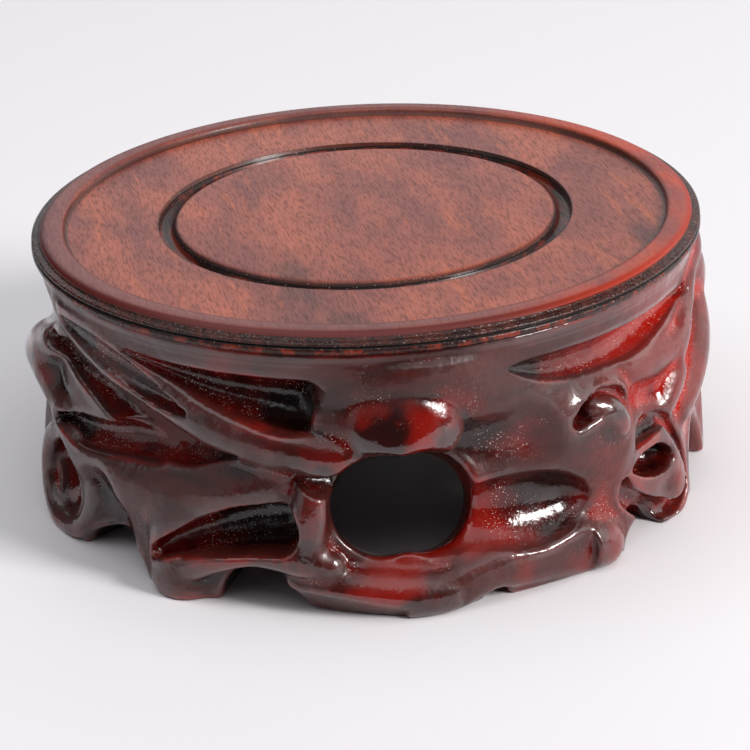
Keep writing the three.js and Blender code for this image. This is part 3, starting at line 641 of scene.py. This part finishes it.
def make_carved_ring():
    """The carved ring. Its corners carry how far a limb and an edge bulge there, and the level."""
    field = carved_field()
    corners, quads, places = surface_of(field)
    piece = mesh_piece("carved_ring", corners, quads)
    nearest = np.minimum(np.rint(places).astype(int), np.array(field.shape) - 1)
    nearest[:, 0] %= GRID_COLUMNS
    spot = tuple(nearest.T)
    add_corner_values(piece, "bulge", (blurred(field, BROAD_PASSES) - field)[spot])
    add_corner_values(piece, "edge", (blurred(field, FINE_PASSES) - field)[spot])
    radius = np.hypot(corners[:, 0], corners[:, 1]) / MM
    add_corner_values(piece, "level", radius - blank_radius(corners[:, 2] / MM))
    return piece


def board_profile():
    """The board from its axis over the top, round the edge and back under it, [radius, height]."""
    runs = [
        # The disc's rounded edge, and the groove beside it
        (DISC_RADIUS, FIELD_HEIGHT, [(-1.4, 0), (-0.9, -0.01), (-0.5, -0.1), (-0.15, -0.35), (0.1, -0.8)]),
        (DISC_RADIUS, GROOVE_FLOOR, [(0.3, 0.25), (0.7, 0)]),
        (GROOVE_END, GROOVE_FLOOR, [(-0.5, 0), (-0.1, 0.4)]),
        (GROOVE_END, FIELD_HEIGHT, [(0, -0.02), (0.02, 0), (0.3, 0)]),
        # The wall of the recess, and the crown with its rounded outer edge
        (RECESS_RADIUS, FIELD_HEIGHT, [(-0.9, 0), (-0.5, 0.01), (-0.1, 0.15)]),
        (RECESS_RADIUS, STAND_HEIGHT, [(0.1, -0.4), (0.35, -0.1), (0.9, 0)]),
        (CROWN_END, STAND_HEIGHT, [(-1.4, 0), (-0.8, -0.08), (-0.3, -0.3), (0.05, -0.65)]),
        # The lip, the channel under it, and the plain band under the channel
        (CROWN_END, LIP_HEIGHT, [(0.2, 0), (0.45, -0.08)]),
        (RIM_RADIUS, LIP_HEIGHT, [(-0.4, -0.2), (-0.1, -0.35), (-0.1, -0.6), (-0.5, -0.78)]),
        (RIM_RADIUS, LIP_HEIGHT, [(-0.5, -0.92), (-0.15, -1.05), (0, -1.3)]),
        (RIM_RADIUS, BASE_HEIGHT, [(0, 0.6), (-0.3, 0.2), (-1.0, 0.02)]),
        # The step that sits in the ring
        (STEP_RADIUS, BASE_HEIGHT, [(0, 0.02)]),
        (STEP_RADIUS, STEP_HEIGHT, [(0, 0.3), (-0.3, 0)]),
    ]
    points = [(AXIS_GAP, FIELD_HEIGHT)]
    for radius, height, offsets in runs:
        points += [(radius + outward, height + upward) for outward, upward in offsets]
    return points + [(AXIS_GAP, STEP_HEIGHT)]


def make_turned_board():
    """The board, turned from its profile."""
    profile = board_profile()
    angle = np.linspace(0, 2 * math.pi, BOARD_STEPS, endpoint=False)
    rings = [
        np.stack([radius * np.sin(angle), -radius * np.cos(angle), np.full(BOARD_STEPS, height)], 1)
        for radius, height in profile
    ]
    step = np.arange(BOARD_STEPS)
    after = (step + 1) % BOARD_STEPS
    band = np.stack([step, after, after + BOARD_STEPS, step + BOARD_STEPS], 1)
    quads = np.concatenate([band + row * BOARD_STEPS for row in range(len(profile) - 1)])
    return mesh_piece("turned_board", np.concatenate(rings) * MM, quads[:, ::-1])


def new_material(name):
    """A node material, with its shader's node tree and the shader."""
    material = bpy.data.materials.new(name)
    material.use_nodes = True
    return material, material.node_tree, material.node_tree.nodes["Principled BSDF"]


def place_on_object(tree, length=(1, 1, 1), turn=(0, 0, 0)):
    """Coordinates in metres on the object. Features grow longer along its turned axes."""
    coordinates = tree.nodes.new("ShaderNodeTexCoord")
    mapping = tree.nodes.new("ShaderNodeMapping")
    mapping.vector_type = "TEXTURE"
    mapping.inputs["Scale"].default_value = length
    mapping.inputs["Rotation"].default_value = turn
    tree.links.new(coordinates.outputs["Object"], mapping.inputs["Vector"])
    return mapping.outputs["Vector"]


def along_axis(tree, place, axis):
    """One coordinate of a place, by its letter."""
    node = tree.nodes.new("ShaderNodeSeparateXYZ")
    tree.links.new(place, node.inputs["Vector"])
    return node.outputs[axis]


def noise(tree, place, scale, detail=4.0, roughness=0.55, distortion=0.0):
    """A noise value, with its scale in features per metre."""
    node = tree.nodes.new("ShaderNodeTexNoise")
    node.inputs["Scale"].default_value = scale
    node.inputs["Detail"].default_value = detail
    node.inputs["Roughness"].default_value = roughness
    node.inputs["Distortion"].default_value = distortion
    tree.links.new(place, node.inputs["Vector"])
    return node.outputs["Fac"]


def corner_value(tree, name):
    """The value that the mesh carries under a name."""
    node = tree.nodes.new("ShaderNodeAttribute")
    node.attribute_name = name
    return node.outputs["Fac"]


def spread(tree, value, low, high, start=0.0, end=1.0):
    """A value from low to high as a value from start to end, smoothly."""
    node = tree.nodes.new("ShaderNodeMapRange")
    node.interpolation_type = "SMOOTHSTEP"
    node.inputs["From Min"].default_value = low
    node.inputs["From Max"].default_value = high
    node.inputs["To Min"].default_value = start
    node.inputs["To Max"].default_value = end
    tree.links.new(value, node.inputs["Value"])
    return node.outputs["Result"]


def calculate(tree, operation, *values):
    """Values combined by a Math node. Any of them may be a plain number."""
    node = tree.nodes.new("ShaderNodeMath")
    node.operation = operation
    for socket, value in zip(node.inputs, values):
        if isinstance(value, (int, float)):
            socket.default_value = value
        else:
            tree.links.new(value, socket)
    return node.outputs["Value"]


def times(tree, first, *others):
    """A value times one other or more."""
    for other in others:
        first = calculate(tree, "MULTIPLY", first, other)
    return first


def larger(tree, first, *others):
    """The largest of some values."""
    for other in others:
        first = calculate(tree, "MAXIMUM", first, other)
    return first


def outside(tree, mask):
    """One where a mask is zero, and the other way round."""
    return calculate(tree, "SUBTRACT", 1, mask)


def from_axis(tree, place):
    """Distance of a place from the turned axis."""
    across = along_axis(tree, place, "X")
    deep = along_axis(tree, place, "Y")
    squares = calculate(tree, "ADD", times(tree, across, across), times(tree, deep, deep))
    return calculate(tree, "SQRT", squares)


def ring_mask(tree, distance, inner, outer, softness):
    """One between two distances from the axis, in millimetres, and nothing elsewhere."""
    rise = spread(tree, distance, (inner - softness) * MM, (inner + softness) * MM)
    fall = spread(tree, distance, (outer + softness) * MM, (outer - softness) * MM)
    return times(tree, rise, fall)


def blend_colours(tree, share, first, second):
    """From one colour to another by a share. Any of them may be a plain value."""
    node = tree.nodes.new("ShaderNodeMix")
    node.data_type = "RGBA"
    for socket, value in zip((node.inputs[0], node.inputs[6], node.inputs[7]), (share, first, second)):
        if isinstance(value, bpy.types.NodeSocket):
            tree.links.new(value, socket)
        else:
            socket.default_value = value
    return node.outputs[2]


def overlay_stain_and_painted_light(tree, wood, mask, strength, stain):
    """Wood with another colour over it, where the mask is one, at a strength: a stain, painted shade or
    painted light.
    """
    return blend_colours(tree, times(tree, mask, strength), wood, stain)


def bump(tree, value, strength, distance, under=None):
    """A bump from a value, over another normal where one is given."""
    node = tree.nodes.new("ShaderNodeBump")
    node.inputs["Strength"].default_value = strength
    node.inputs["Distance"].default_value = distance
    tree.links.new(value, node.inputs["Height"])
    if under is not None:
        tree.links.new(under, node.inputs["Normal"])
    return node.outputs["Normal"]


def colour(red, green, blue):
    """A colour from its display values, 0 to 255."""
    def linear(value):
        value = value / 255
        return value / 12.92 if value <= 0.04045 else ((value + 0.055) / 1.055) ** 2.4
    return linear(red), linear(green), linear(blue), 1.0


# The ring's colours: each pair runs from its darker to its redder shade
RING_WOOD = colour(48, 13, 10), colour(74, 20, 13)
# Painted shade of the hollows, and the red of thick lacquer lying in them
HOLLOW_SHADE_AND_LACQUER = colour(30, 7, 6), colour(104, 12, 6)
POLISHED_WOOD = colour(30, 6, 5), colour(94, 10, 5)
# Red of thin lacquer on worn edges and blushes, and painted light on the ring's right side
THIN_LACQUER_AND_LIT_RED = colour(164, 22, 7)
RING_DUST = colour(214, 190, 180)

# The board's colours
FIELD_WOOD = colour(124, 60, 54), colour(172, 88, 64)
PALE_STREAK = colour(190, 96, 58)
DARK_FIBRE = colour(80, 36, 31)
DARK_STAIN = colour(50, 26, 24)
# Painted shade in the corner at the foot of the recess wall
CORNER_SHADE = colour(40, 15, 12)
# Painted shade in the groove round the disc
GROOVE_SHADE = colour(36, 15, 12), colour(76, 30, 19)
# The crown's own colours, and reds that are painted light on its right side
CROWN_WOOD_AND_LIT_RED = colour(112, 62, 60), colour(188, 60, 24)
CROWN_EDGE_WOOD_AND_LIT_RED = colour(88, 20, 14), colour(160, 44, 20)
LIP_WOOD = colour(34, 13, 9), colour(66, 27, 17)
# Painted shade in the channel under the lip
CHANNEL_SHADE = colour(12, 5, 4)
BAND_WOOD = colour(44, 12, 9), colour(122, 38, 14)
BOARD_DUST = colour(210, 188, 176)
DOWEL_WOOD = colour(150, 108, 66), colour(204, 164, 112)


def ring_red_and_painted_light(tree, plain, clouds, patches, bulge):
    """How red the ring shows: painted light of the window on its right side, in a few clouds, mostly off
    the limbs and less near the floor; and the lacquer's own red in blushes and in patches of its worn
    edges.
    """
    # Painted light: the window's light painted as red on the right side, fading towards the floor.
    window_lit_side = spread(tree, along_axis(tree, plain, "X"), 26 * MM, 48 * MM)
    off_floor = spread(tree, along_axis(tree, plain, "Z"), 4 * MM, 12 * MM, 0.3, 1.0)
    not_on_limbs = spread(tree, bulge, 0.1, -0.2, 0.35, 1.0)
    redness = times(tree, window_lit_side, spread(tree, clouds, 0.34, 0.56), not_on_limbs, off_floor)
    blush = spread(tree, noise(tree, plain, 55, 3.0, 0.5), 0.54, 0.68, 0.0, 0.4)
    worn = spread(tree, corner_value(tree, "edge"), 0.04, 0.2, 0.0, 0.45)
    return larger(tree, redness, blush, times(tree, worn, patches))


def ring_colour(tree, plain, grain, bulge, raised, sunk):
    """Dark wood with painted shade in the hollows, redder in places and with painted light on its right
    side, with pale dust in the hollows.
    """
    clouds = noise(tree, plain, 75, 3.0, 0.5)
    patches = spread(tree, noise(tree, plain, 110, 3.0, 0.55), 0.42, 0.62)
    wood = blend_colours(tree, spread(tree, grain, 0.3, 0.7), *RING_WOOD)
    # Painted shade: the hollows are darker, with the deeper red of thick lacquer lying in them.
    hollow = blend_colours(tree, spread(tree, clouds, 0.42, 0.66), *HOLLOW_SHADE_AND_LACQUER)
    wood = blend_colours(tree, sunk, wood, hollow)
    polished = blend_colours(tree, spread(tree, patches, 0.1, 0.9), *POLISHED_WOOD)
    wood = overlay_stain_and_painted_light(tree, wood, raised, 0.8, polished)
    # Painted light on the right side, with the lacquer's own red on blushes and worn edges.
    wood = blend_colours(tree, ring_red_and_painted_light(tree, plain, clouds, patches, bulge), wood, THIN_LACQUER_AND_LIT_RED)
    dust = spread(tree, noise(tree, plain, 3600, 1.0, 0.5), 0.66, 0.72)
    dusty_spots = spread(tree, noise(tree, plain, 150, 2.0), 0.42, 0.6)
    in_hollows = spread(tree, bulge, 0.15, -0.2)
    return blend_colours(tree, times(tree, dust, dusty_spots, in_hollows), wood, RING_DUST)


def carved_lacquer():
    """Rosewood under thick lacquer, glossier on what stands out and in the hollows."""
    material, tree, shader = new_material("carved_lacquer")
    plain = place_on_object(tree)
    grain = noise(tree, place_on_object(tree, (3, 3, 1)), 320, 5.0, 0.6, 0.4)
    bulge = corner_value(tree, "bulge")
    level = corner_value(tree, "level")
    sunk = larger(tree, spread(tree, bulge, 0.05, -0.18), spread(tree, level, -0.6, -2.2))
    raised = spread(tree, level, 2.8, 4.4)
    wood = ring_colour(tree, plain, grain, bulge, raised, sunk)
    tree.links.new(wood, shader.inputs["Base Color"])
    haze = spread(tree, noise(tree, plain, 240, 4.0), 0.3, 0.75, -0.05, 0.09)
    rough = calculate(tree, "SUBTRACT", 0.38, times(tree, larger(tree, raised, sunk), 0.22))
    tree.links.new(calculate(tree, "ADD", haze, rough), shader.inputs["Roughness"])
    ripple = bump(tree, noise(tree, plain, 260, 3.0, 0.5), 0.40, 0.0008)
    pores = bump(tree, grain, 0.05, 0.0003, ripple)
    grit = times(tree, noise(tree, plain, 2600, 2.0), spread(tree, bulge, 0.1, -0.15))
    tree.links.new(bump(tree, grit, 0.12, 0.0002, pores), shader.inputs["Normal"])
    tree.links.new(ripple, shader.inputs["Coat Normal"])
    coated = larger(tree, raised, spread(tree, bulge, 0.05, 0.4))
    tree.links.new(spread(tree, coated, 0.0, 1.0, 0.15, 0.95), shader.inputs["Coat Weight"])
    shader.inputs["Specular IOR Level"].default_value = 0.5
    shader.inputs["Coat Roughness"].default_value = 0.09
    shader.inputs["Coat IOR"].default_value = 1.5
    return material


def board_zones(tree, plain):
    """Masks of the board's groove, recess corner, crown, crown's edge, lip, channel and band."""
    distance = from_axis(tree, plain)
    height = along_axis(tree, plain, "Z")
    crown_edge = ring_mask(tree, distance, CROWN_END - 0.9, PAST_RIM, 0.35)
    under_crown = spread(tree, height, (LIP_HEIGHT + 0.45) * MM, (LIP_HEIGHT + 0.2) * MM)
    return {
        "groove": ring_mask(tree, distance, DISC_RADIUS - 0.45, GROOVE_END + 0.2, 0.3),
        "corner": ring_mask(tree, distance, RECESS_RADIUS - 0.6, RECESS_RADIUS + 0.2, 0.25),
        "crown": ring_mask(tree, distance, RECESS_RADIUS + 0.3, PAST_RIM, 0.3),
        "crown_edge": crown_edge,
        "lip": times(tree, crown_edge, under_crown),
        "channel": spread(tree, height, (LIP_HEIGHT - 0.7) * MM, (LIP_HEIGHT - 0.88) * MM),
        "band": spread(tree, height, (LIP_HEIGHT - 1.05) * MM, (LIP_HEIGHT - 1.2) * MM),
    }


def field_colour(tree, patches, streaks, fibres, lean):
    """The wood's own colour on the board, the same everywhere."""
    stains = noise(tree, place_on_object(tree, (1, 2, 1), lean), 42, 3.0, 0.55)
    wood = blend_colours(tree, spread(tree, patches, 0.3, 0.7), *FIELD_WOOD)
    wood = blend_colours(tree, spread(tree, streaks, 0.54, 0.72, 0.0, 0.6), wood, PALE_STREAK)
    wood = blend_colours(tree, spread(tree, fibres, 0.46, 0.66, 0.0, 0.6), wood, DARK_FIBRE)
    return blend_colours(tree, spread(tree, stains, 0.58, 0.70, 0.0, 0.65), wood, DARK_STAIN)


def zone_colours_and_painted_light(tree, plain, wood, zones, patches, streaks):
    """The board's wood with each zone's colour: painted shade in the recess corner, the groove and the
    channel, painted light that makes the crown redder at the right, and dust on two of the zones.
    """
    # Painted light: the crown and its edge redder and lighter towards the right, where the window is.
    redder = spread(tree, along_axis(tree, plain, "X"), 12 * MM, 45 * MM)
    lit_crown_patches = times(tree, redder, spread(tree, patches, 0.35, 0.6, 0.3, 1.0))
    shade_in_groove = blend_colours(tree, spread(tree, patches, 0.45, 0.6), *GROOVE_SHADE)
    on_crown = blend_colours(tree, lit_crown_patches, *CROWN_WOOD_AND_LIT_RED)
    on_crown_edge = blend_colours(tree, redder, *CROWN_EDGE_WOOD_AND_LIT_RED)
    on_lip = blend_colours(tree, spread(tree, streaks, 0.4, 0.6), *LIP_WOOD)
    on_band = blend_colours(tree, spread(tree, streaks, 0.45, 0.62), *BAND_WOOD)
    # Painted shade in the recess corner, the groove and the channel; painted light on the crown's right
    # side.
    wood = overlay_stain_and_painted_light(tree, wood, zones["corner"], 0.75, CORNER_SHADE)
    wood = overlay_stain_and_painted_light(tree, wood, zones["groove"], 0.92, shade_in_groove)
    wood = overlay_stain_and_painted_light(tree, wood, zones["crown"], 0.8, on_crown)
    wood = overlay_stain_and_painted_light(tree, wood, zones["crown_edge"], 0.95, on_crown_edge)
    wood = overlay_stain_and_painted_light(tree, wood, zones["lip"], 0.95, on_lip)
    wood = overlay_stain_and_painted_light(tree, wood, zones["channel"], 0.95, CHANNEL_SHADE)
    wood = overlay_stain_and_painted_light(tree, wood, zones["band"], 0.95, on_band)
    dusty = calculate(tree, "SUBTRACT", larger(tree, zones["groove"], zones["lip"]), zones["band"])
    dust = spread(tree, noise(tree, plain, 4200, 1.0), 0.70, 0.75, 0.0, 0.7)
    return blend_colours(tree, times(tree, dust, dusty), wood, BOARD_DUST)


def board_roughness(tree, plain, zones, fibres):
    """Satin on the top and glossier on the lip, but dull in the channel and the groove's front."""
    satin = spread(tree, fibres, 0.3, 0.8, 0.34, 0.50)
    gloss = spread(tree, noise(tree, plain, 300, 3.0), 0.3, 0.7, 0.16, 0.30)
    lip_gloss = calculate(tree, "ADD", gloss, outside(tree, zones["lip"]))
    rough = calculate(tree, "MINIMUM", satin, lip_gloss)
    front_half = spread(tree, along_axis(tree, plain, "Y"), 10 * MM, -10 * MM)
    dull = larger(tree, times(tree, zones["groove"], front_half), zones["channel"])
    return larger(tree, rough, times(tree, dull, 0.8, outside(tree, zones["band"])))


def board_lacquer():
    """Satin rosewood with fine fibres, with painted shade in the groove, the recess corner and the
    channel, dark at the edges, and painted light on the crown's right side.
    """
    material, tree, shader = new_material("board_lacquer")
    plain = place_on_object(tree)
    lean = (0, 0, math.radians(12))
    patches = noise(tree, place_on_object(tree, (1, 2.2, 1), lean), 95, 4.0, 0.6, 0.3)
    streaks = noise(tree, place_on_object(tree, (1, 9, 1), lean), 420, 3.0, 0.6, 0.2)
    fibres = noise(tree, place_on_object(tree, (1, 8, 1), lean), 3600, 2.0, 0.6)
    zones = board_zones(tree, plain)
    wood = field_colour(tree, patches, streaks, fibres, lean)
    wood = zone_colours_and_painted_light(tree, plain, wood, zones, patches, streaks)
    tree.links.new(wood, shader.inputs["Base Color"])
    tree.links.new(board_roughness(tree, plain, zones, fibres), shader.inputs["Roughness"])
    uneven = bump(tree, noise(tree, plain, 140, 2.0), 0.10, 0.0004)
    pitted = bump(tree, times(tree, noise(tree, plain, 1200, 3.0), zones["lip"]), 0.6, 0.0005, uneven)
    tree.links.new(bump(tree, fibres, 0.25, 0.00012, pitted), shader.inputs["Normal"])
    shader.inputs["Specular IOR Level"].default_value = 0.32
    shader.inputs["Coat Weight"].default_value = 0.1
    shader.inputs["Coat Roughness"].default_value = 0.15
    return material


def plain_dowel_wood():
    """Pale turned wood for the hidden dowels."""
    material, tree, shader = new_material("plain_dowel_wood")
    streaks = noise(tree, place_on_object(tree, (1, 1, 8)), 2000, 4.0)
    tree.links.new(blend_colours(tree, streaks, *DOWEL_WOOD), shader.inputs["Base Color"])
    tree.links.new(bump(tree, streaks, 0.2, 0.0002), shader.inputs["Normal"])
    shader.inputs["Roughness"].default_value = 0.7
    return material


def put_material(piece, material):
    """Makes a material the only one on a piece."""
    piece.data.materials.clear()
    piece.data.materials.append(material)


def make_floor():
    """A pale floor, nearly white in this light, that takes the stand's shadow."""
    material, _, shader = new_material("pale_floor")
    shader.inputs["Base Color"].default_value = colour(240, 237, 240)
    shader.inputs["Roughness"].default_value = 0.55
    mesh = bpy.data.meshes.new("floor")
    reach = 6.0
    corners = [(-reach, -reach, 0), (reach, -reach, 0), (reach, reach, 0), (-reach, reach, 0)]
    mesh.from_pydata(corners, [], [(0, 1, 2, 3)])
    mesh.materials.append(material)
    floor = bpy.data.objects.new("floor", mesh)
    bpy.context.scene.collection.objects.link(floor)


def make_world():
    """A dim room."""
    world = bpy.data.worlds.new("surroundings")
    world.use_nodes = True
    bpy.context.scene.world = world
    background = world.node_tree.nodes["Background"]
    background.inputs["Color"].default_value = colour(232, 236, 248)
    background.inputs["Strength"].default_value = 0.05


def add_lamp(name, place, aim, size, power, tint):
    """An area lamp, with its places in metres."""
    lamp = bpy.data.lights.new(name, "AREA")
    lamp.shape = "RECTANGLE"
    lamp.size, lamp.size_y = size
    lamp.energy = power
    lamp.color = tint
    holder = bpy.data.objects.new(name, lamp)
    bpy.context.scene.collection.objects.link(holder)
    holder.location = place
    holder.rotation_euler = (Vector(aim) - Vector(place)).to_track_quat("-Z", "Y").to_euler()


def add_lamps():
    """A window at the right front, and the soft light of a ceiling and three pale walls."""
    cool = (0.97, 0.98, 1)
    add_lamp("window", (1.40, -0.85, 0.95), (0, 0, 0.02), (0.45, 0.60), 34.0, (1, 0.98, 0.96))
    add_lamp("ceiling", (-0.20, -0.25, 2.00), (0, 0, 0), (3.0, 2.4), 30.0, cool)
    add_lamp("back_wall", (0.10, 2.60, 1.20), (0, 0, 0.03), (3.5, 1.6), 16.0, cool)
    add_lamp("right_wall", (2.20, 0.80, 0.70), (0, 0, 0.03), (2.4, 1.3), 15.0, (1, 0.99, 0.98))
    add_lamp("left_wall", (-2.20, -0.60, 0.90), (0, 0, 0.03), (2.0, 1.6), 5.0, cool)


def make_camera():
    """The photograph's camera, fitted to the circles of the rim, the recess and the groove."""
    distance = 0.3911
    over_rim = 0.1457
    pitch, yaw, roll = 0.4251, 0.0012, -0.0440
    focal_pixels = 2500
    image_width = 750
    forward = Vector((math.sin(yaw) * math.cos(pitch), math.cos(yaw) * math.cos(pitch), -math.sin(pitch)))
    level = Vector((math.cos(yaw), -math.sin(yaw), 0))
    upward = level.cross(forward)
    right = level * math.cos(roll) + upward * math.sin(roll)
    top = upward * math.cos(roll) - level * math.sin(roll)
    camera = bpy.data.cameras.new("camera")
    camera.sensor_width = 36
    camera.lens = focal_pixels / image_width * camera.sensor_width
    camera.clip_start = 0.01
    holder = bpy.data.objects.new("camera", camera)
    bpy.context.scene.collection.objects.link(holder)
    turned = Matrix((right, top, -forward)).transposed().to_4x4()
    turned.translation = Vector((0, -distance, over_rim + STAND_HEIGHT * MM))
    holder.matrix_world = turned
    bpy.context.scene.camera = holder


ring = make_carved_ring()
board = make_turned_board()
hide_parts("carved_base")
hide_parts("top_board")
put_material(ring, carved_lacquer())
put_material(board, board_lacquer())
dowel_wood = plain_dowel_wood()
for side in ("front", "back", "left", "right"):
    put_material(frame["nodes"][f"dowel_{side}"], dowel_wood)

make_floor()
make_world()
add_lamps()
make_camera()
bpy.context.scene.view_settings.view_transform = "Standard"
